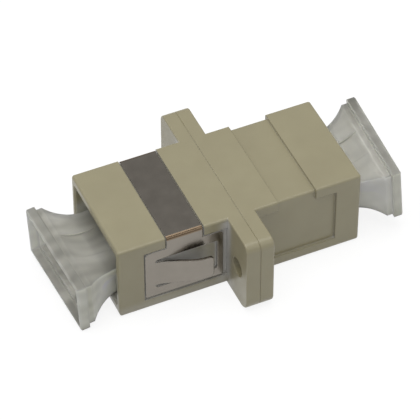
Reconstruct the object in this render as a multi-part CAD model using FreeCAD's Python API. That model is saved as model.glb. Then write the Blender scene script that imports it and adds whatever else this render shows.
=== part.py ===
import FreeCAD, Part
import math
import os

# Duplex LC fibre adapter in an SC-size body, with its panel clip and its two dust caps.
# Millimetres. X runs along the adapter, from port to port. Y is the width and Z is up.
# The origin is under the middle of the flange, on the plane that the body rests on.

# Body
body_length = 27.5
body_width = 12.5
body_height = 9.55
top_wall = 1.02
bottom_wall = 1.4
top_edge_round = 0.25
bottom_edge_round = 0.45
end_edge_round = 0.3
end_foot_round = 0.65      # at the lower edge of each end, seen from the side

# Flange across the middle of the body
flange_width = 22.1
flange_thickness = 3.1
flange_top_round = 0.92
flange_bottom_round = 1.45
flange_edge_round = 0.15
flange_hole_pitch = 17.4
flange_hole_diameter = 2.2
seam_chamfer = 0.05

# Ports, two side by side in each end
port_pitch = 6.25
port_width = 4.65
port_height = 4.6
port_recess = 3.0          # the web, rails and latch bars start this far inside the mouth
cavity_round = 0.3
mouth_chamfer = 0.2
rail_width = 0.7
rail_height = 0.8
latch_bar_drop = 0.8
latch_bar_length = 1.3

# Sleeve carriers, clamped between the two housing halves
carrier_plate = 1.15
carrier_rim = 0.35         # how far the plate reaches past the cavity walls
barrel_wall = 0.54
barrel_lip = 0.55
barrel_chamfer = 0.2

# Split sleeves
ferrule_diameter = 1.25
sleeve_length = 6.8
sleeve_wall = 0.185
sleeve_slot = 0.2
sleeve_side_play = 0.05
sleeve_end_play = 0.05

# Shallow seat for the panel clip, the same in both halves
seat_depth = 0.32
seat_band_start = 4.19     # from the middle of the flange
seat_band_width = 4.33
seat_pocket_end_margin = 2.83   # left whole next to the end of the body
seat_pocket_top_drop = 1.32
seat_pocket_bottom_rim = 1.36

# Panel clip, one bent strip of spring steel
clip_thickness = 0.3
clip_fold_radius = 0.12    # on the inside
clip_fold_clearance = 0.13 # between the fold and the seat's edge, as a difference in radius
clip_side_gap = 0.15
clip_bottom_gap = 0.3
clip_flange_gap = 0.5
clip_upper_round = 0.5
clip_lower_round = 0.25
window_end_band = 1.14
window_flange_band = 0.62
window_top_band = 1.25
window_bottom_band = 1.11
window_round = 0.3
slit_width = 0.38
tongue_length = 5.95
tongue_end_height = 2.7
tongue_stand_off = 1.38
tongue_bend_radius = 2.9
tongue_tip_length = 1.07
tongue_tip_round = 0.4

# Dust caps, one duplex moulding at each end
plug_rail_gap = 0.3        # between a plug and the rails above its port, on each side
plug_top_gap = 0.54
plug_length = 5.0
plug_root = 1.2            # how far inside the mouth the plugs join the handle
plug_round = 0.4
plug_wall = 0.45
cap_partition = 0.6
cap_waist_inset = 0.18     # how far the waist lies inside the plugs' outer sides
cap_flare_inset = 0.75     # how far inside the mouth the flare starts
cap_flare_length = 4.0
cap_flare_side_rise = 1.66 # how far the flare and then the lip stand out, on each side
cap_flare_top_rise = 1.17
cap_shoulder_length = 0.72
cap_lip_length = 0.98
cap_lip_side_rise = 0.35
cap_lip_top_rise = 0.42
cap_lip_draft = 0.08       # how much the lip narrows towards the open end, on each side
cap_rim_chamfer = 0.15
cap_corner_round = 0.35
cap_wall = 0.4
channel_width = 3.4        # along the middle of the handle's top and bottom
channel_depth = 0.22       # below the middle of the flare; the channel runs out at both its ends

# How the two caps sit in their ports
left_cap_stand_off = 0.0
left_cap_raise = 0.45
left_cap_lift_deg = -3.6
left_cap_swing_deg = 3.1
left_cap_roll_deg = -2.6
right_cap_stand_off = 0.2
right_cap_raise = 0.92
right_cap_lift_deg = 4.9
right_cap_swing_deg = -3.3
right_cap_roll_deg = 0.0

# Worked out from the sizes above
half_length = body_length / 2
half_flange = flange_thickness / 2
cavity_width = port_pitch + port_width
cavity_top = body_height - top_wall
port_axis_z = bottom_wall + port_height / 2
port_top_z = bottom_wall + port_height
web_thickness = port_pitch - port_width
ports_y = (-port_pitch / 2, port_pitch / 2)
seat_side_y = body_width / 2 - seat_depth
seat_top_z = body_height - seat_depth
seat_edge_round = clip_fold_radius + clip_fold_clearance
sleeve_diameter = ferrule_diameter + 2 * sleeve_wall
sleeve_bore = sleeve_diameter + 2 * sleeve_side_play
barrel_diameter = sleeve_bore + 2 * barrel_wall
barrel_reach = sleeve_length / 2 + sleeve_end_play + barrel_lip
plug_width = port_width - 2 * (rail_width + plug_rail_gap)
plug_height = port_height - 2 * plug_top_gap
over = 1.0                 # how far a cutter runs past the face it opens
bury = 0.3                 # how far a rib runs into the wall that carries it
tight = 1e-4               # two edges nearer than this are on the same line


def vec(x, y, z):
    return FreeCAD.Vector(x, y, z)


def block(x_range, y_range, z_range):
    """A box between two values on each axis."""
    size = [high - low for low, high in (x_range, y_range, z_range)]
    return Part.makeBox(*size, vec(x_range[0], y_range[0], z_range[0]))


def fused(shapes):
    """One shape from several, with the faces that line up joined."""
    return shapes[0].multiFuse(shapes[1:]).removeSplitter()


def rounded_section(x, y_half, z_low, z_high, low_round, high_round):
    """A rectangle across X whose lower and upper corners have their own radius."""
    corners = [
        (y_half, z_low, low_round),
        (y_half, z_high, high_round),
        (-y_half, z_high, high_round),
        (-y_half, z_low, low_round),
    ]
    return rounded_wire([(vec(x, y, z), r) for y, z, r in corners])


def rounded_wire(corners):
    """A closed outline of straight runs, with an arc of the given radius at each square corner."""
    count = len(corners)
    starts, ends, middles = [], [], []
    for i, (point, radius) in enumerate(corners):
        back = corners[i - 1][0].sub(point).normalize()
        ahead = corners[(i + 1) % count][0].sub(point).normalize()
        centre = point.add(back.multiply(radius)).add(ahead.multiply(radius))
        starts.append(point.add(back))
        ends.append(point.add(ahead))
        middles.append(centre.add(point.sub(centre).multiply(1 / math.sqrt(2))))
    edges = []
    for i, (point, radius) in enumerate(corners):
        if radius > 0:
            edges.append(Part.Arc(starts[i], middles[i], ends[i]).toShape())
        edges.append(Part.makeLine(ends[i], starts[(i + 1) % count]))
    return Part.Wire(edges)


def prism(wire, direction):
    return Part.Face(wire).extrude(direction)


def edges_on_plane(shape, x):
    """The edges of a shape that lie in the plane across X at x."""
    return [
        edge for edge in shape.Edges
        if abs(edge.BoundBox.XMin - x) < tight and abs(edge.BoundBox.XMax - x) < tight
    ]


def turned_about_z(shape):
    """A copy of a left-hand piece, turned half a turn to the right-hand end."""
    copy = shape.copy()
    copy.rotate(vec(0, 0, 0), vec(0, 0, 1), 180)
    return copy


# ---- Housing halves ----

def flange_slab():
    """Half the flange, from its outer face to the weld seam, with both rims eased."""
    outline = rounded_section(
        -half_flange, flange_width / 2, 0, body_height, flange_bottom_round, flange_top_round)
    slab = prism(outline, vec(half_flange, 0, 0))
    slab = slab.makeFillet(flange_edge_round, edges_on_plane(slab, -half_flange))
    return slab.makeChamfer(seam_chamfer, edges_on_plane(slab, 0))


def body_tube():
    """The outside of the body from its end to inside the flange."""
    outline = rounded_section(
        -half_length, body_width / 2, 0, body_height, bottom_edge_round, top_edge_round)
    tube = prism(outline, vec(half_length - half_flange + bury, 0, 0))
    return tube.makeFillet(min(end_edge_round, bottom_wall / 2), edges_on_plane(tube, -half_length))


def end_foot_cutter():
    """What is taken off the lower edge of the end to round it."""
    round_x = -half_length + end_foot_round
    corner = block(
        (-half_length - over, round_x), (-body_width, body_width), (-over, end_foot_round))
    rod = Part.makeCylinder(
        end_foot_round, 2 * body_width, vec(round_x, -body_width, end_foot_round), vec(0, 1, 0))
    return corner.cut(rod)


def seat_cutter():
    """What is taken off the body for the clip: a band over the top and a pocket on each side."""
    core = prism(
        rounded_section(-half_length, seat_side_y, -over, seat_top_z, 0, seat_edge_round),
        vec(half_length, 0, 0))
    wide = (-body_width, body_width)
    band_outer = -seat_band_start - seat_band_width
    pocket_top = body_height - seat_pocket_top_drop
    band = block((band_outer, -seat_band_start), wide, (pocket_top, body_height + over))
    pocket_outer = -half_length + seat_pocket_end_margin
    pocket = block((pocket_outer, -half_flange), wide, (seat_pocket_bottom_rim, pocket_top))
    return fused([band, pocket]).cut(core)


def port_cavity():
    """The inside of one end: an open mouth, then two ports with a web, rails and latch bars."""
    inner_x = -carrier_plate
    outline = rounded_section(
        -half_length - over, cavity_width / 2, bottom_wall, cavity_top, cavity_round, cavity_round)
    cavity = prism(outline, vec(half_length + over + inner_x, 0, 0))
    recess_x = -half_length + port_recess
    left_in = [web(recess_x, inner_x)]
    for port_y in ports_y:
        left_in += rails(port_y, recess_x, inner_x)
        left_in.append(latch_bar(port_y, recess_x))
    return cavity.cut(fused(left_in))


def web(recess_x, inner_x):
    """The wall between the two ports."""
    half = web_thickness / 2
    return block((recess_x, inner_x), (-half, half), (0, body_height))


def rails(port_y, recess_x, inner_x):
    """The two rails that keep a connector down, at the top corners of a port."""
    made = []
    for side in (-1, 1):
        wall_y = port_y + side * port_width / 2
        y_range = tuple(sorted((wall_y - side * rail_width, wall_y + side * bury)))
        made.append(block((recess_x, inner_x), y_range, (port_top_z, port_top_z + rail_height)))
    return made


def latch_bar(port_y, recess_x):
    """The bar under the top wall that a connector's latch hooks behind."""
    half = port_width / 2 + bury
    return block(
        (recess_x, recess_x + latch_bar_length), (port_y - half, port_y + half),
        (cavity_top - latch_bar_drop, body_height))


def carrier_recess():
    """The step at the seam that the sleeve carrier's plate drops into."""
    outline = carrier_outline(-carrier_plate)
    return prism(outline, vec(carrier_plate + over, 0, 0))


def carrier_outline(x):
    return rounded_section(
        x, cavity_width / 2 + carrier_rim, bottom_wall - carrier_rim, cavity_top + carrier_rim,
        cavity_round, cavity_round)


def mouth_bevel():
    """The lead-in round the mouth, as a frustum from the end face inwards."""
    outer = rounded_section(
        -half_length, cavity_width / 2 + mouth_chamfer, bottom_wall - mouth_chamfer,
        cavity_top + mouth_chamfer, cavity_round, cavity_round)
    inner = rounded_section(
        -half_length + mouth_chamfer, cavity_width / 2, bottom_wall, cavity_top,
        cavity_round, cavity_round)
    return Part.makeLoft([outer, inner], True)


def flange_holes():
    return [
        Part.makeCylinder(
            flange_hole_diameter / 2, half_flange + 2 * over,
            vec(-half_flange - over, y, body_height / 2), vec(1, 0, 0))
        for y in (-flange_hole_pitch / 2, flange_hole_pitch / 2)
    ]


def housing_left():
    outside = fused([flange_slab(), body_tube()])
    cutters = [
        end_foot_cutter(), seat_cutter(), port_cavity(), carrier_recess(), mouth_bevel()]
    return outside.cut(cutters + flange_holes())


# ---- Sleeve carriers and split sleeves ----

def sleeve_carrier_left():
    """A plate with two barrels that hold the sleeves in line with the ports."""
    plate = prism(carrier_outline(-carrier_plate), vec(carrier_plate, 0, 0))
    carrier = fused([plate] + [barrel(y) for y in ports_y])
    return carrier.cut([barrel_bore(y) for y in ports_y])


def barrel(y):
    tube = Part.makeCylinder(
        barrel_diameter / 2, barrel_reach, vec(0, y, port_axis_z), vec(-1, 0, 0))
    return tube.makeChamfer(barrel_chamfer, edges_on_plane(tube, -barrel_reach))


def barrel_bore(y):
    """A wide bore for the sleeve and a narrower mouth, half-way up its wall, that keeps it in."""
    axis_start = vec(over, y, port_axis_z)
    wide = Part.makeCylinder(
        sleeve_bore / 2, over + barrel_reach - barrel_lip, axis_start, vec(-1, 0, 0))
    mouth_radius = (ferrule_diameter + sleeve_wall) / 2
    narrow = Part.makeCylinder(mouth_radius, 2 * over + barrel_reach, axis_start, vec(-1, 0, 0))
    return wide.fuse(narrow)


def split_sleeve(y):
    start = vec(-sleeve_length / 2, y, port_axis_z)
    tube = Part.makeCylinder(sleeve_diameter / 2, sleeve_length, start, vec(1, 0, 0))
    bore = Part.makeCylinder(ferrule_diameter / 2, sleeve_length, start, vec(1, 0, 0))
    slot = block(
        (-sleeve_length, sleeve_length), (y - sleeve_slot / 2, y + sleeve_slot / 2),
        (port_axis_z, port_axis_z + sleeve_diameter))
    return tube.cut([bore, slot])


# ---- Panel clip ----

clip_neck_inner_x = -seat_band_start - clip_side_gap
clip_neck_outer_x = -seat_band_start - seat_band_width + clip_side_gap
clip_plate_outer_x = -half_length + seat_pocket_end_margin + clip_side_gap
clip_plate_inner_x = -half_flange - clip_flange_gap
clip_plate_top = body_height - seat_pocket_top_drop - clip_side_gap
clip_plate_bottom = seat_pocket_bottom_rim + clip_bottom_gap
window_outer_x = clip_plate_outer_x + window_end_band
window_inner_x = clip_plate_inner_x - window_flange_band
window_top = clip_plate_top - window_top_band
window_bottom = clip_plate_bottom + window_bottom_band
window_middle_z = (window_top + window_bottom) / 2


def clip_strap():
    """The strip over the top, folded down at both sides to the top of the side plates."""
    outer_y = seat_side_y + clip_thickness
    outer_z = seat_top_z + clip_thickness
    low_z = clip_plate_top - clip_upper_round
    fold = clip_fold_radius
    outer = rounded_section(
        clip_neck_outer_x, outer_y, low_z, outer_z, 0, fold + clip_thickness)
    inner = rounded_section(clip_neck_outer_x, seat_side_y, low_z - over, seat_top_z, 0, fold)
    width = vec(clip_neck_inner_x - clip_neck_outer_x, 0, 0)
    return prism(outer, width).cut(prism(inner, width))


def clip_side_plate():
    """The flat plate on the near side, with its window, the tongue left out."""
    outline = rounded_wire([
        (vec(clip_plate_outer_x, -seat_side_y, clip_plate_bottom), clip_lower_round),
        (vec(clip_plate_inner_x, -seat_side_y, clip_plate_bottom), clip_lower_round),
        (vec(clip_plate_inner_x, -seat_side_y, clip_plate_top), clip_upper_round),
        (vec(clip_plate_outer_x, -seat_side_y, clip_plate_top), clip_upper_round),
    ])
    opening = rounded_wire([
        (vec(window_outer_x, -seat_side_y, window_bottom), window_round),
        (vec(window_inner_x, -seat_side_y, window_bottom), window_round),
        (vec(window_inner_x, -seat_side_y, window_top), window_round),
        (vec(window_outer_x, -seat_side_y, window_top), window_round),
    ])
    outwards = vec(0, -clip_thickness, 0)
    return prism(outline, outwards).cut(prism(opening, outwards))


def on_circle(centre, radius, angle, side):
    """A point on a circle, where side +1 is its far (+Y) half and -1 its near (-Y) half."""
    return vec(centre.x + radius * math.sin(angle), centre.y + side * radius * math.cos(angle), 0)


def tongue_face(offset):
    """One broad face of the tongue seen from above, at a distance outside its inner face.

    From the root it bends out on an arc, runs straight, bends back on an equal arc and ends in a
    flat tip that stands off the plate."""
    reach = tongue_length - tongue_tip_length
    # The angle at which two equal arcs and a straight run climb the stand-off within the reach
    square = reach ** 2 + tongue_stand_off ** 2 - 4 * tongue_bend_radius * tongue_stand_off
    angle = 2 * math.atan2(tongue_stand_off, reach + math.sqrt(max(square, 0.0)))
    out_centre = vec(window_outer_x, -seat_side_y - tongue_bend_radius, 0)
    back_centre = vec(
        window_outer_x + reach, -seat_side_y - tongue_stand_off + tongue_bend_radius, 0)
    out_radius = tongue_bend_radius - offset
    back_radius = tongue_bend_radius + offset
    out_start, out_middle, out_end = [
        on_circle(out_centre, out_radius, turn, 1) for turn in (0, angle / 2, angle)]
    back_start, back_middle, back_end = [
        on_circle(back_centre, back_radius, turn, -1) for turn in (-angle, -angle / 2, 0)]
    root = vec(window_outer_x - clip_thickness, out_start.y, 0)
    tip = vec(window_outer_x + tongue_length, back_end.y, 0)
    edges = [
        Part.makeLine(root, out_start),
        Part.Arc(out_start, out_middle, out_end).toShape(),
        Part.makeLine(out_end, back_start),
        Part.Arc(back_start, back_middle, back_end).toShape(),
        Part.makeLine(back_end, tip),
    ]
    return edges, root, tip


def tongue_section():
    """The closed outline of the bent tongue seen from above, of one thickness all along."""
    inner, inner_root, inner_tip = tongue_face(0.0)
    outer, outer_root, outer_tip = tongue_face(clip_thickness)
    ends = [Part.makeLine(inner_root, outer_root), Part.makeLine(inner_tip, outer_tip)]
    return Part.Wire(Part.__sortEdges__(inner + outer + ends))


def tongue_outline_from_side():
    """The tongue's tapered outline seen from the side, rounded at its free end."""
    root_half = (window_top - window_bottom) / 2 - slit_width
    tip_half = tongue_end_height / 2
    x_root = window_outer_x - clip_thickness
    x_tip = window_outer_x + tongue_length
    corners = [
        vec(x_root, 0, window_middle_z - root_half),
        vec(window_outer_x, 0, window_middle_z - root_half),
        vec(x_tip, 0, window_middle_z - tip_half),
        vec(x_tip, 0, window_middle_z + tip_half),
        vec(window_outer_x, 0, window_middle_z + root_half),
        vec(x_root, 0, window_middle_z + root_half),
    ]
    flat = Part.makePolygon(corners + corners[:1])
    solid = prism(flat, vec(0, -body_width, 0))
    tip_edges = [
        edge for edge in solid.Edges
        if abs(edge.BoundBox.XMin - x_tip) < tight and edge.BoundBox.ZLength < tight
    ]
    return solid.makeFillet(tongue_tip_round, tip_edges)


def clip_tongue():
    """The latch tongue: the bent strip, kept to its tapered outline."""
    section = tongue_section()
    section.translate(vec(0, 0, window_bottom))
    strip = prism(section, vec(0, 0, window_top - window_bottom))
    return strip.common(tongue_outline_from_side())


def panel_clip():
    side = fused([clip_side_plate(), clip_tongue()])
    far_side = side.mirror(vec(0, 0, 0), vec(0, 1, 0))
    return fused([clip_strap(), side, far_side])


# ---- Dust caps, in their own frame: X out from the mouth, origin on the ports' middle line ----

handle_start_x = -max(plug_root, cap_flare_inset) - bury
flare_start_x = -cap_flare_inset
flare_end_x = flare_start_x + cap_flare_length
lip_x = flare_end_x + cap_shoulder_length
cap_length = lip_x + cap_lip_length
waist_half_width = (port_pitch + plug_width) / 2 - cap_waist_inset
waist_half_height = plug_height / 2
lip_half_width = waist_half_width + cap_flare_side_rise + cap_lip_side_rise
lip_half_height = waist_half_height + cap_flare_top_rise + cap_lip_top_rise


def flare_middle(waist, flare_rise):
    """The x and half-size at the middle of the flare, which leaves the waist level on one arc."""
    turn = 2 * math.atan2(flare_rise, cap_flare_length)
    radius = cap_flare_length / math.sin(turn)
    return (
        flare_start_x + radius * math.sin(turn / 2),
        waist + radius * (1 - math.cos(turn / 2)))


def waist_outline(waist_half, flare_rise, lip_rise, end_x, inset, point_at):
    """The handle's outline in one view, an even distance inside its outer skin.

    A straight waist, a flare on one arc, a short shoulder and a lip that narrows outwards, the same
    on both sides."""
    waist = waist_half - inset
    shoulder = waist + flare_rise
    lip = shoulder + lip_rise
    rim = lip - cap_lip_draft
    middle_x, middle = flare_middle(waist, flare_rise)
    edges = []
    ends = []
    for side in (1, -1):
        corners = [
            point_at(x, side * half) for x, half in (
                (handle_start_x, waist), (flare_start_x, waist), (flare_end_x, shoulder),
                (lip_x, shoulder), (lip_x, lip), (end_x - cap_rim_chamfer, rim),
                (end_x, rim - cap_rim_chamfer))
        ]
        bend = point_at(middle_x, side * middle)
        edges.append(Part.makeLine(corners[0], corners[1]))
        edges.append(Part.Arc(corners[1], bend, corners[2]).toShape())
        edges += [Part.makeLine(a, b) for a, b in zip(corners[2:], corners[3:])]
        ends.append((corners[0], corners[-1]))
    (near_start, near_end), (far_start, far_end) = ends
    edges += [Part.makeLine(near_start, far_start), Part.makeLine(near_end, far_end)]
    return Part.Wire(Part.__sortEdges__(edges))


def waist_from_above(end_x, inset):
    """The waisted outline in plan, as a tall prism."""
    tall = lip_half_height + over
    wire = waist_outline(
        waist_half_width, cap_flare_side_rise, cap_lip_side_rise, end_x, inset,
        lambda x, y: vec(x, y, -tall))
    return prism(wire, vec(0, 0, 2 * tall))


def waist_from_side(end_x, inset):
    """The waisted outline in elevation, as a wide prism."""
    wide = lip_half_width + over
    wire = waist_outline(
        waist_half_height, cap_flare_top_rise, cap_lip_top_rise, end_x, inset,
        lambda x, z: vec(x, -wide, z))
    return prism(wire, vec(0, 2 * wide, 0))


def waisted(end_x, inset):
    """The handle's form: waisted both in plan and in elevation."""
    return waist_from_above(end_x, inset).common(waist_from_side(end_x, inset))


def channels(half_width, inset):
    """What the channels take from the middle of the top and bottom flares, an even distance inside.

    Each floor is a deeper arc than the flare's, between the same two ends."""
    waist = waist_half_height - inset
    middle_x, middle = flare_middle(waist, cap_flare_top_rise)
    cutters = []
    for side in (1, -1):
        start, bend, end = [
            vec(x, -half_width, side * half) for x, half in (
                (flare_start_x, waist), (middle_x, middle - channel_depth),
                (flare_end_x, waist + cap_flare_top_rise))
        ]
        wire = Part.Wire([Part.Arc(start, bend, end).toShape(), Part.makeLine(end, start)])
        cutters.append(prism(wire, vec(0, 2 * half_width, 0)))
    return cutters


def handle_shell():
    """The outside of the handle, with its channels and with the lip's corners rounded."""
    start_x = handle_start_x - over
    rounded_lip = prism(
        rounded_section(
            start_x, lip_half_width, -lip_half_height, lip_half_height,
            cap_corner_round, cap_corner_round),
        vec(cap_length + over - start_x, 0, 0))
    return waisted(cap_length, 0).common(rounded_lip).cut(channels(channel_width / 2, 0))


def handle_hollow():
    """The inside of the handle, one wall from its skin, from the partition to the open end."""
    whole = waisted(cap_length + over, cap_wall)
    wide = (-lip_half_width - over, lip_half_width + over)
    outside_partition = block((cap_partition, cap_length + over), wide, wide)
    return whole.common(outside_partition).cut(channels(channel_width / 2 + cap_wall, cap_wall))


def cap_plug(y):
    """One plug, from its inner end to where it joins the handle."""
    wire = rounded_wire([
        (vec(-plug_length, y + across * plug_width / 2, up * plug_height / 2), plug_round)
        for across, up in ((-1, -1), (1, -1), (1, 1), (-1, 1))
    ])
    return prism(wire, vec(plug_length - plug_root, 0, 0))


def cap_plug_bore(y):
    """The round hole up the plug from its inner end, which clears a ferrule."""
    radius = min(plug_width, plug_height) / 2 - plug_wall
    return Part.makeCylinder(
        radius, plug_length + over, vec(-plug_length - over, y, 0), vec(1, 0, 0))


def dust_cap():
    """Two plugs on one hollow handle, which is open at its outer end."""
    cap = fused([handle_shell()] + [cap_plug(y) for y in ports_y])
    return cap.cut([handle_hollow()] + [cap_plug_bore(y) for y in ports_y])


def seated_cap(cap, stand_off, rise, lift_deg, swing_deg, roll_deg):
    """A cap in the right-hand end, turned a little about the middle of its plugs."""
    placed = cap.copy()
    pivot = vec(-plug_length / 2, 0, 0)
    placed.rotate(pivot, vec(1, 0, 0), roll_deg)
    placed.rotate(pivot, vec(0, 1, 0), -lift_deg)
    placed.rotate(pivot, vec(0, 0, 1), swing_deg)
    placed.translate(vec(half_length + stand_off, 0, port_axis_z + rise))
    return placed


def main():
    left_housing = housing_left()
    left_carrier = sleeve_carrier_left()
    cap = dust_cap()
    left_cap = seated_cap(
        cap, left_cap_stand_off, left_cap_raise, left_cap_lift_deg, left_cap_swing_deg,
        left_cap_roll_deg)
    right_cap = seated_cap(
        cap, right_cap_stand_off, right_cap_raise, right_cap_lift_deg, right_cap_swing_deg,
        right_cap_roll_deg)
    pieces = {
        "housing_left": left_housing,
        "housing_right": turned_about_z(left_housing),
        "sleeve_carrier_left": left_carrier,
        "sleeve_carrier_right": turned_about_z(left_carrier),
        "split_sleeve_front": split_sleeve(ports_y[0]),
        "split_sleeve_back": split_sleeve(ports_y[1]),
        "panel_clip": panel_clip(),
        "dust_cap_left": turned_about_z(left_cap),
        "dust_cap_right": right_cap,
    }
    os.makedirs("parts", exist_ok=True)
    for name, shape in pieces.items():
        shape.exportStep("parts/" + name + ".step")
        box = shape.BoundBox
        print(name, len(shape.Solids), shape.isValid(), round(shape.Volume, 3),
              [round(v, 2) for v in (box.XMin, box.XMax, box.YMin, box.YMax, box.ZMin, box.ZMax)])


main()
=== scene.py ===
import math

import bpy
from mathutils import Matrix, Vector

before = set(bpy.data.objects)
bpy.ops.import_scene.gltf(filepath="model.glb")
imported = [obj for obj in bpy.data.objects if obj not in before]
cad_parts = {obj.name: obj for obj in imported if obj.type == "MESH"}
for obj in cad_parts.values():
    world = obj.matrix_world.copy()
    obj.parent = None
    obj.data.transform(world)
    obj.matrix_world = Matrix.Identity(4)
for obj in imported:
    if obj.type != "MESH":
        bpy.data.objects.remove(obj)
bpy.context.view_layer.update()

# Looks for the duplex fibre adapter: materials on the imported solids, a pale floor, soft lamps
# and a camera that looks down on the clip's side of the part. Metres throughout.

MM = 0.001

# ---- Colours: the darker and the lighter tone of each finish ----

BEIGE = ((0.335, 0.30, 0.185), (0.36, 0.325, 0.20))
INNER_BEIGE = ((0.35, 0.315, 0.20), (0.38, 0.345, 0.22))
STEEL = ((0.240, 0.219, 0.190), (0.260, 0.237, 0.206))
STEEL_BENDS = ((0.18, 0.13, 0.085), (0.20, 0.145, 0.095))
BRONZE = ((0.52, 0.30, 0.14), (0.62, 0.38, 0.19))
# A lighter neutral grey painted into gaps and corners: painted light that lifts their shade.
PAINTED_CREVICE_LIGHT = ((0.56, 0.55, 0.52), (0.64, 0.63, 0.60))

# ---- Painted light in gaps and corners: a lighter grey that lifts their shade ----

# How far out of a gap or corner it lies.
CREVICE_LIGHT_REACH = 1.6 * MM
# The open share of the surroundings where it starts, and where it covers all.
STRONG_CREVICE_LIGHT = (0.95, 0.65)
FAINT_CREVICE_LIGHT = (0.6, 0.25)
# It covers what lies this near the part's middle plane, and none of what lies this far out.
CREVICE_LIGHT_FULL_UP_TO = 6.9 * MM
CREVICE_LIGHT_NONE_FROM = 8.2 * MM
# How much of it stays at each height.
BODY_HEIGHT = 9.55 * MM
CREVICE_LIGHT_AT_HEIGHTS = ((0.0, 0.1), (1.7 * MM, 1.0), (9.1 * MM, 1.0), (9.25 * MM, 0.5))

# ---- Dust caps ----

# How far a cap's handle reaches out of the mouth, and the tints of its tones: the second tints the
# painted light on its upright faces.
CAP_REACH = 4.95 * MM
CAP_TINT = (1.0, 0.985, 0.895)
CAP_PAINTED_SIDE_LIGHT_TINT = (1.0, 1.0, 0.84)
# How far out of a cap's tight corners their painted shade and light goes, and the open shares for
# it.
PAINTED_CORNER_REACH = 0.35 * MM
PAINTED_CORNER_SHARES = (0.95, 0.55)

# For each cap, the middle of the mouth it stands in and how it leans there, the strength of its
# streaks, and its tones at distances out from the mouth, with painted light on its upright faces.
LEFT_CAP = {
    "seat": (-13.75 * MM, 0.0, 4.15 * MM),
    "lean": (math.radians(-2.6), math.radians(3.6), math.radians(183.1)),
    "streakiness": 0.33,
    "level_tones": ((0.0, 0.68), (2.6 * MM, 0.68), (4.1 * MM, 0.50)),
    "upright_tones_with_painted_light": ((1.2 * MM, 1.0), (2.6 * MM, 0.82), (3.7 * MM, 0.78), (4.0 * MM, 0.84)),
    "corner_painted_shade_and_light": ((3.3 * MM, 0.45), (3.7 * MM, 0.72)),
}
RIGHT_CAP = {
    "seat": (13.95 * MM, 0.0, 4.62 * MM),
    "lean": (0.0, math.radians(-4.9), math.radians(-3.3)),
    "streakiness": 0.12,
    "level_tones": ((0.0, 0.94), (2.6 * MM, 0.84), (4.1 * MM, 0.40)),
    "upright_tones_with_painted_light": ((1.2 * MM, 1.0), (2.6 * MM, 0.92), (3.7 * MM, 0.86), (4.0 * MM, 0.68)),
    "corner_painted_shade_and_light": ((3.3 * MM, 0.42), (3.7 * MM, 1.0)),
}

# The range that most of a noise field lies in.
NOISE_MIDDLE = (0.3, 0.7)

# ---- Floor and light ----

FLOOR_HALF_SIDE = 1.5
# The floor's grey as it bounces light, its grey under the part's shadow, and its own glow.
FLOOR_BOUNCE = 0.40
FLOOR_SHADE = 0.22
FLOOR_GLOW = 0.85

SKY_STRENGTH = 0.45
LAMP_DISTANCE = 0.5


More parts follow.
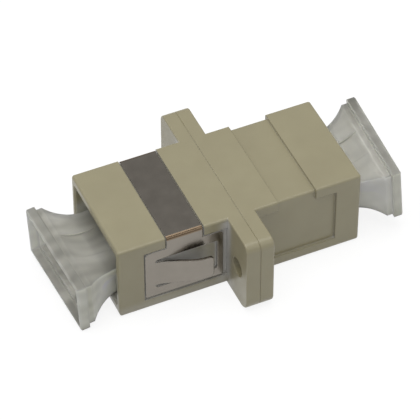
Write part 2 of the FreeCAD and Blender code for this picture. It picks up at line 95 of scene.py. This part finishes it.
class Graph:
    """One material's nodes, with short ways to add them and wire them up."""

    def __init__(self, name):
        self.material = bpy.data.materials.new(name)
        self.material.use_nodes = True
        self.nodes = self.material.node_tree.nodes
        self.links = self.material.node_tree.links
        self.shader = self.nodes["Principled BSDF"]

    def feed(self, node, inputs):
        """Set a node's inputs, each to a plain value or to another node's output."""
        for socket, value in inputs.items():
            if isinstance(value, bpy.types.NodeSocket):
                self.links.new(value, node.inputs[socket])
            else:
                node.inputs[socket].default_value = value

    def add(self, kind, inputs, output, **settings):
        """One of a new node's outputs, once its settings and inputs are in."""
        node = self.nodes.new(kind)
        for setting, value in settings.items():
            setattr(node, setting, value)
        self.feed(node, inputs)
        return node.outputs[output]

    def place(self, stretch=(1, 1, 1)):
        """Object coordinates, in metres, with a stretch on each axis."""
        place = self.add("ShaderNodeTexCoord", {}, "Object")
        return self.add("ShaderNodeMapping", {"Vector": place, "Scale": stretch}, "Vector")

    def facing(self, axis):
        """How far the surface faces along one of the part's axes, from -1 to 1."""
        return self.part(self.add("ShaderNodeTexCoord", {}, "Normal"), axis)

    def part(self, vector, axis):
        """One axis of a vector field."""
        return self.add("ShaderNodeSeparateXYZ", {"Vector": vector}, axis)

    def calculated(self, operation, *values):
        """Arithmetic on one or two number fields."""
        return self.add("ShaderNodeMath", dict(enumerate(values)), "Value", operation=operation)

    def fitted(self, value, start, end, low=0.0, high=1.0, curve="LINEAR"):
        """A field that goes from low to high as its value goes from start to end."""
        ranges = {
            "Value": value, "From Min": start, "From Max": end, "To Min": low, "To Max": high}
        return self.add("ShaderNodeMapRange", ranges, "Result", interpolation_type=curve)

    def noise(self, vector, size, detail=2.0, roughness=0.5):
        """A noise field whose features are about one size across, in metres."""
        look = {"Vector": vector, "Scale": 1 / size, "Detail": detail, "Roughness": roughness}
        return self.add("ShaderNodeTexNoise", look, "Fac")

    def spread(self, noise, low=0.0, high=1.0):
        """Noise with its middle range brought to a range of its own."""
        return self.fitted(noise, *NOISE_MIDDLE, low, high)

    def blend(self, share, low, high):
        """One colour where the share is 0 and another where it is 1, each plain or a field."""
        low, high = (
            (*colour, 1) if isinstance(colour, tuple) else colour for colour in (low, high))
        return self.add(
            "ShaderNodeMix", {"Factor": share, "A": low, "B": high}, "Result", data_type="RGBA")

    def crevices(self, reach, opened, closed):
        """1 where the open share of the surroundings is down to closed, 0 where above opened."""
        open_share = self.add("ShaderNodeAmbientOcclusion", {"Distance": reach}, "AO", samples=8)
        return self.fitted(open_share, opened, closed)

    def tones(self, distance, reach, stops, tint=(1, 1, 1)):
        """A tinted grey that changes with a distance of up to reach: pairs of it and a tone."""
        ramp = self.nodes.new("ShaderNodeValToRGB")
        elements = ramp.color_ramp.elements
        for count, (position, tone) in enumerate(stops):
            # A new ramp comes with two stops of its own.
            stop = elements[count] if count < 2 else elements.new(position / reach)
            stop.position = position / reach
            stop.color = (*(tone * share for share in tint), 1)
        self.feed(ramp, {"Fac": self.fitted(distance, 0.0, reach)})
        return ramp.outputs["Color"]

    def softened(self, radius):
        """The surface's direction with its sharp edges rounded off to a radius in metres."""
        return self.add("ShaderNodeBevel", {"Radius": radius}, "Normal", samples=6)

    def relief(self, height, depth, under=None):
        """Relief of a depth in metres, on top of another one if that is given."""
        look = {"Height": height, "Distance": depth, "Strength": 1.0}
        if under is not None:
            look["Normal"] = under
        return self.add("ShaderNodeBump", look, "Normal")


# ---- Materials ----

def painted_crevice_light_share(graph, opened, closed):
    """Where painted light lifts the shade: in crevices, but little of it low down, at the top and
    on the flange.
    """
    place = graph.place()
    kept = graph.tones(graph.part(place, "Z"), BODY_HEIGHT, CREVICE_LIGHT_AT_HEIGHTS)
    outward = graph.calculated("ABSOLUTE", graph.part(place, "Y"))
    inboard = graph.fitted(outward, CREVICE_LIGHT_NONE_FROM, CREVICE_LIGHT_FULL_UP_TO)
    kept = graph.calculated("MULTIPLY", kept, inboard)
    return graph.calculated("MULTIPLY", kept, graph.crevices(CREVICE_LIGHT_REACH, opened, closed))


def moulded_plastic(name, colours, roughness, crevice_light):
    """Satin moulded thermoplastic: faint flow clouds in its colour and a fine eroded grain."""
    graph = Graph(name)
    place = graph.place()
    clouds = graph.spread(graph.noise(place, size=4 * MM, detail=3))
    smears = graph.noise(place, size=1.6 * MM, detail=4, roughness=0.6)
    waves = graph.relief(
        graph.noise(place, size=2.5 * MM, detail=1),
        depth=0.012 * MM, under=graph.softened(0.15 * MM))
    grain = graph.noise(place, size=0.07 * MM, detail=2, roughness=0.6)
    graph.feed(graph.shader, {
        # Gaps and corners are painted a lighter grey: painted light that lifts their shade.
        "Base Color": graph.blend(
            painted_crevice_light_share(graph, *crevice_light), graph.blend(clouds, *colours), graph.blend(clouds, *PAINTED_CREVICE_LIGHT)),
        "Roughness": graph.spread(smears, roughness - 0.05, roughness + 0.06),
        "IOR": 1.65,
        "Normal": graph.relief(grain, depth=0.003 * MM, under=waves),
    })
    return graph.material


def rolled_steel(name, colours, bend_colours, crevice_light):
    """Tarnished cold-rolled strip: fine lines along its length, cloudy patches, brown bends."""
    graph = Graph(name)
    place = graph.place()
    patches = graph.spread(graph.noise(place, size=1.6 * MM, detail=3))
    slant = graph.calculated("MULTIPLY", graph.facing("Y"), graph.facing("Z"))
    on_bend = graph.fitted(graph.calculated("ABSOLUTE", slant), start=0.03, end=0.25)
    clean = graph.blend(
        on_bend, graph.blend(patches, *colours), graph.blend(patches, *bend_colours))
    crevice_lit = painted_crevice_light_share(graph, *crevice_light)
    dents = graph.relief(
        graph.noise(place, size=2.2 * MM, detail=1),
        depth=0.004 * MM, under=graph.softened(0.12 * MM))
    lines = graph.noise(graph.place((1.0, 0.04, 0.04)), size=0.05 * MM, detail=3, roughness=0.6)
    graph.feed(graph.shader, {
        # Gaps and corners turn a lighter, less metallic grey: painted light that lifts their
        # shade.
        "Base Color": graph.blend(crevice_lit, clean, graph.blend(patches, *PAINTED_CREVICE_LIGHT)),
        "Metallic": graph.calculated("SUBTRACT", 1.0, crevice_lit),
        "Roughness": graph.fitted(patches, 0.0, 1.0, low=0.2, high=0.26),
        "Normal": graph.relief(lines, depth=0.0002 * MM, under=dents),
    })
    return graph.material


def drawn_bronze(name, colours):
    """Warm drawn bronze with fine lines along the tube."""
    graph = Graph(name)
    lines = graph.noise(graph.place((0.05, 1.0, 1.0)), size=0.04 * MM)
    graph.feed(graph.shader, {
        "Base Color": graph.blend(lines, *colours),
        "Metallic": 1.0,
        "Roughness": graph.spread(lines, 0.22, 0.34),
        "Normal": graph.relief(lines, depth=0.001 * MM),
    })
    return graph.material


def frosted_cap(name, seat, lean, streakiness, level_tones, upright_tones_with_painted_light, corner_painted_shade_and_light):
    """Soft frosted plastic, with flow streaks out along the cap and a waxy surface.

    Its tone changes from the mouth to the lip, apart on level faces, upright faces and corners:
    upright faces carry painted light, lighter than level ones."""
    graph = Graph(name)
    place = graph.place()
    along_cap = graph.add(
        "ShaderNodeMapping", {"Vector": place, "Location": seat, "Rotation": lean}, "Vector",
        vector_type="TEXTURE")
    outward = graph.part(along_cap, "X")
    level = graph.calculated("ABSOLUTE", graph.facing("Z"))
    upright = graph.fitted(level, start=0.9, end=0.35, curve="SMOOTHSTEP")
    # Upright faces take lighter tones than level ones: painted light that the sides lack.
    tone = graph.blend(
        upright,
        graph.tones(outward, CAP_REACH, level_tones, CAP_TINT),
        graph.tones(outward, CAP_REACH, upright_tones_with_painted_light, CAP_PAINTED_SIDE_LIGHT_TINT))

    stretched = graph.add(
        "ShaderNodeMapping", {"Vector": along_cap, "Scale": (0.25, 1.0, 0.6)}, "Vector")
    streaks = graph.spread(
        graph.noise(stretched, size=1.6 * MM, detail=1), 1 - streakiness, 1 + streakiness)
    streaked = graph.add(
        "ShaderNodeVectorMath", {"Vector": tone, "Scale": streaks}, "Vector", operation="SCALE")
    # Tight corners take tones of their own: painted shade near the mouth and painted light at the
    # lip.
    corner = graph.tones(outward, CAP_REACH, corner_painted_shade_and_light, CAP_TINT)

    wax = graph.noise(place, size=0.8 * MM, detail=4, roughness=0.6)
    waves = graph.relief(
        graph.noise(place, size=1.4 * MM),
        depth=0.02 * MM, under=graph.softened(0.25 * MM))
    grain = graph.noise(place, size=0.09 * MM)
    graph.feed(graph.shader, {
        # The corners' painted shade and light replaces the streaked tone where the AO mask finds
        # them.
        "Base Color": graph.blend(
            graph.crevices(PAINTED_CORNER_REACH, *PAINTED_CORNER_SHARES), streaked, corner),
        "Roughness": graph.spread(wax, 0.34, 0.46),
        "IOR": 1.25,
        "Transmission Weight": graph.fitted(upright, 0.0, 1.0, low=0.55, high=0.05),
        "Subsurface Weight": 1.0,
        "Subsurface Radius": (1, 1, 1),
        "Subsurface Scale": 2.0 * MM,
        "Normal": graph.relief(grain, depth=0.002 * MM, under=waves),
    })
    return graph.material


def pale_floor(name):
    """White paper that looks plain white, straight or in a reflection, under the part's shadow.

    As a source of bounced light it stays at the level of lit paper."""
    graph = Graph(name)
    graph.feed(graph.shader, {"Base Color": (*[FLOOR_BOUNCE] * 3, 1), "Roughness": 0.9})
    shade = graph.add("ShaderNodeBsdfDiffuse", {"Color": (*[FLOOR_SHADE] * 3, 1)}, "BSDF")
    glow = graph.add(
        "ShaderNodeEmission", {"Color": (1, 1, 1, 1), "Strength": FLOOR_GLOW}, "Emission")
    shown = graph.add("ShaderNodeAddShader", {0: shade, 1: glow}, "Shader")
    seen = graph.add("ShaderNodeLightPath", {}, "Is Camera Ray")
    for kind in ("Is Glossy Ray", "Is Transmission Ray"):
        seen = graph.calculated("MAXIMUM", seen, graph.add("ShaderNodeLightPath", {}, kind))
    choice = graph.add(
        "ShaderNodeMixShader", {"Fac": seen, 1: graph.shader.outputs["BSDF"], 2: shown}, "Shader")
    graph.feed(graph.nodes["Material Output"], {"Surface": choice})
    return graph.material


def dress():
    """Each solid takes the finish of what it is made of."""
    # Each finish lifts the shade in its gaps and corners with painted light, the left half most.
    left_half = moulded_plastic("left_body_plastic", BEIGE, roughness=0.34, crevice_light=STRONG_CREVICE_LIGHT)
    right_half = moulded_plastic("right_body_plastic", BEIGE, roughness=0.34, crevice_light=FAINT_CREVICE_LIGHT)
    inner = moulded_plastic(
        "carrier_plastic", INNER_BEIGE, roughness=0.45, crevice_light=FAINT_CREVICE_LIGHT)
    bronze = drawn_bronze("sleeve_bronze", BRONZE)
    finish = {
        "housing_left": left_half,
        "housing_right": right_half,
        "sleeve_carrier_left": inner,
        "sleeve_carrier_right": inner,
        "split_sleeve_front": bronze,
        "split_sleeve_back": bronze,
        "panel_clip": rolled_steel("clip_steel", STEEL, STEEL_BENDS, FAINT_CREVICE_LIGHT),
        "dust_cap_left": frosted_cap("left_cap_plastic", **LEFT_CAP),
        "dust_cap_right": frosted_cap("right_cap_plastic", **RIGHT_CAP),
    }
    for node, material in finish.items():
        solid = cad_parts[node]
        solid.data.materials.clear()
        solid.data.materials.append(material)


# ---- Floor, lamps and camera ----

def floor(half_side):
    """A square sheet of paper under the part."""
    mesh = bpy.data.meshes.new("floor")
    corners = [(-1, -1), (1, -1), (1, 1), (-1, 1)]
    mesh.from_pydata([(x * half_side, y * half_side, 0) for x, y in corners], [], [(0, 1, 2, 3)])
    plane = bpy.data.objects.new("floor", mesh)
    bpy.context.scene.collection.objects.link(plane)
    mesh.materials.append(pale_floor("floor_paper"))


def sky(strength):
    """Even soft light from all round."""
    world = bpy.data.worlds.new("studio")
    bpy.context.scene.world = world
    world.use_nodes = True
    shade = world.node_tree.nodes["Background"]
    shade.inputs["Color"].default_value = (1, 1, 1, 1)
    shade.inputs["Strength"].default_value = strength


def softbox(name, direction, width, height, share):
    """A lamp aimed at the part, which adds a share of plain exposure to a face turned to it."""
    lamp = bpy.data.lights.new(name, "AREA")
    lamp.shape = "RECTANGLE"
    lamp.size = width
    lamp.size_y = height
    lamp.energy = share * math.pi ** 2 * LAMP_DISTANCE ** 2
    place = bpy.data.objects.new(name, lamp)
    towards = Vector(direction).normalized()
    place.location = towards * LAMP_DISTANCE
    place.rotation_euler = towards.to_track_quat("Z", "Y").to_euler()
    bpy.context.scene.collection.objects.link(place)


def camera(aim, distance, azimuth, elevation, lens):
    """A long lens that looks along +Y at azimuth 0, turned towards +X as the azimuth grows."""
    forward = Vector((
        math.sin(azimuth) * math.cos(elevation),
        math.cos(azimuth) * math.cos(elevation),
        -math.sin(elevation)))
    right = forward.cross(Vector((0, 0, 1))).normalized()
    up = right.cross(forward)
    turn = Matrix((right, up, -forward)).transposed().to_4x4()
    data = bpy.data.cameras.new("camera")
    data.lens = lens
    data.sensor_width = 36.0
    data.clip_start = 0.01
    data.clip_end = 10.0
    view = bpy.data.objects.new("camera", data)
    view.matrix_world = Matrix.Translation(Vector(aim) - forward * distance) @ turn
    bpy.context.scene.collection.objects.link(view)
    bpy.context.scene.camera = view


dress()
floor(FLOOR_HALF_SIDE)
sky(SKY_STRENGTH)
softbox("overhead", direction=(-0.1, 0.08, 1.0), width=0.45, height=0.45, share=0.54)
softbox("left_fill", direction=(-1.0, 0.0, 0.35), width=0.2, height=0.2, share=0.05)
softbox("front_strip", direction=(0.29, -0.71, 0.64), width=0.05, height=0.2, share=0.03)
camera(
    aim=(-0.65 * MM, 0.16 * MM, 4.52 * MM), distance=298.5 * MM,
    azimuth=math.radians(24.27), elevation=math.radians(45.6), lens=243.4)

bpy.context.scene.view_settings.view_transform = "Standard"
